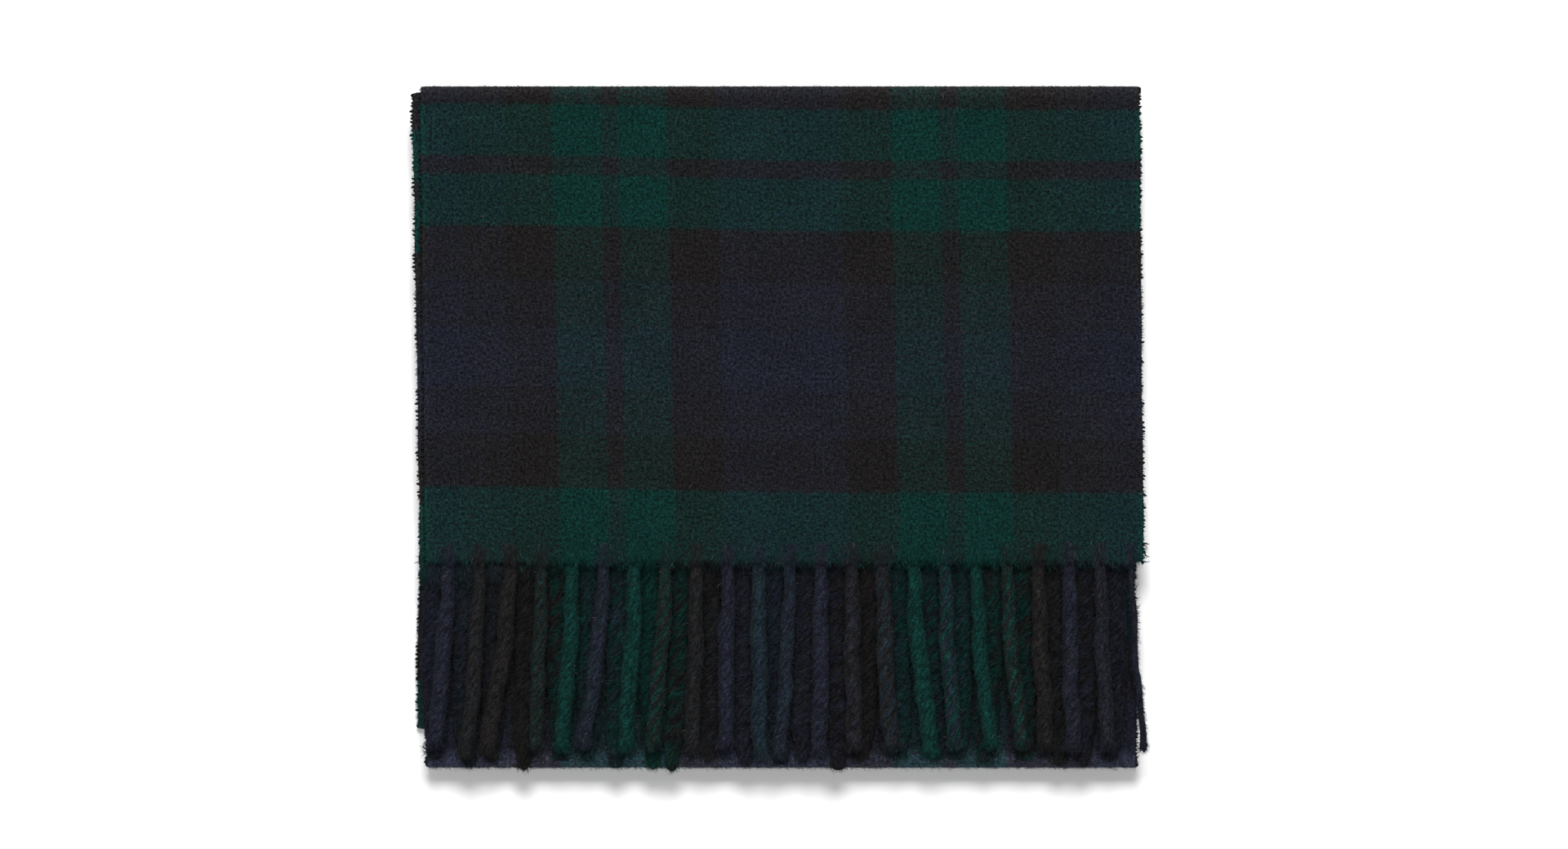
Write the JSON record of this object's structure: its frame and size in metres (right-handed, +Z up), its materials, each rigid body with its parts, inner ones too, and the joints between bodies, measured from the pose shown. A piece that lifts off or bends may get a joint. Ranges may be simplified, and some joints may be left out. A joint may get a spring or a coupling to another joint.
{
  "type": "folded throw blanket",
  "caption": "Brushed wool tartan wrap doubled and folded into four panels, with twisted fringes hanging from its two stacked ends over the front.",
  "frame": {"origin": "middle of the flat face that the folded cloth rests on", "axes": "+X across the cloth from selvedge to selvedge, +Y towards the top crease with the fringe at -Y, +Z up out of the stack"},
  "size_m": [0.254, 0.238, 0.0203],
  "materials": {
    "tartan_cloth": "brushed woollen twill in dark green, navy and black checks, matt with a short nap",
    "fringe_wool": "twisted woollen warp ends in navy, black-brown and green, matt and fuzzy"
  },
  "bodies": {
    "base_panel": {"base_panel_cloth": "tartan_cloth"},
    "third_panel": {"third_panel_upper_cloth": "tartan_cloth", "third_panel_lower_cloth": "tartan_cloth"},
    "second_panel": {"second_panel_upper_cloth": "tartan_cloth", "second_panel_lower_cloth": "tartan_cloth"},
    "top_flap": {"top_flap_upper_cloth": "tartan_cloth", "top_flap_lower_cloth": "tartan_cloth"},
    "top_fringe": {"top_tassel_01": "fringe_wool", "top_tassel_02": "fringe_wool", "top_tassel_03": "fringe_wool", "top_tassel_04": "fringe_wool", "top_tassel_05": "fringe_wool", "top_tassel_06": "fringe_wool", "top_tassel_07": "fringe_wool", "top_tassel_08": "fringe_wool", "top_tassel_09": "fringe_wool", "top_tassel_10": "fringe_wool", "top_tassel_11": "fringe_wool", "top_tassel_12": "fringe_wool", "top_tassel_13": "fringe_wool", "top_tassel_14": "fringe_wool", "top_tassel_15": "fringe_wool", "top_tassel_16": "fringe_wool", "top_tassel_17": "fringe_wool", "top_tassel_18": "fringe_wool", "top_tassel_19": "fringe_wool", "top_tassel_20": "fringe_wool", "top_tassel_21": "fringe_wool", "top_tassel_22": "fringe_wool", "top_tassel_23": "fringe_wool"},
    "under_fringe": {"under_tassel_01": "fringe_wool", "under_tassel_02": "fringe_wool", "under_tassel_03": "fringe_wool", "under_tassel_04": "fringe_wool", "under_tassel_05": "fringe_wool", "under_tassel_06": "fringe_wool", "under_tassel_07": "fringe_wool", "under_tassel_08": "fringe_wool", "under_tassel_09": "fringe_wool", "under_tassel_10": "fringe_wool", "under_tassel_11": "fringe_wool", "under_tassel_12": "fringe_wool", "under_tassel_13": "fringe_wool", "under_tassel_14": "fringe_wool", "under_tassel_15": "fringe_wool", "under_tassel_16": "fringe_wool", "under_tassel_17": "fringe_wool", "under_tassel_18": "fringe_wool", "under_tassel_19": "fringe_wool", "under_tassel_20": "fringe_wool", "under_tassel_21": "fringe_wool", "under_tassel_22": "fringe_wool", "under_tassel_23": "fringe_wool"}
  },
  "joints": [
    {"name": "third_panel_fold", "type": "hinge", "parent": "base_panel", "child": "third_panel", "pos_m": [0, 0.1133, 0.00405], "axis": [-1, 0, 0], "range_deg": [0, 180]},
    {"name": "second_panel_fold", "type": "hinge", "parent": "third_panel", "child": "second_panel", "pos_m": [0, -0.1193, 0.00825], "axis": [1, 0, 0], "range_deg": [0, 180]},
    {"name": "top_flap_fold", "type": "hinge", "parent": "second_panel", "child": "top_flap", "pos_m": [0, 0.1193, 0.01245], "axis": [-1, 0, 0], "range_deg": [0, 180]},
    {"name": "top_fringe_lift", "type": "hinge", "parent": "top_flap", "child": "top_fringe", "pos_m": [0, -0.04685, 0.0165], "axis": [-1, 0, 0], "range_deg": [0, 120]},
    {"name": "under_fringe_lift", "type": "hinge", "parent": "top_flap", "child": "under_fringe", "pos_m": [0, -0.05285, 0.0144], "axis": [-1, 0, 0], "range_deg": [0, 120]}
  ],
  "couplings": [
    {"joint": "second_panel_fold", "follows": "third_panel_fold", "ratio": 1},
    {"joint": "under_fringe_lift", "follows": "top_fringe_lift", "ratio": 1}
  ]
}
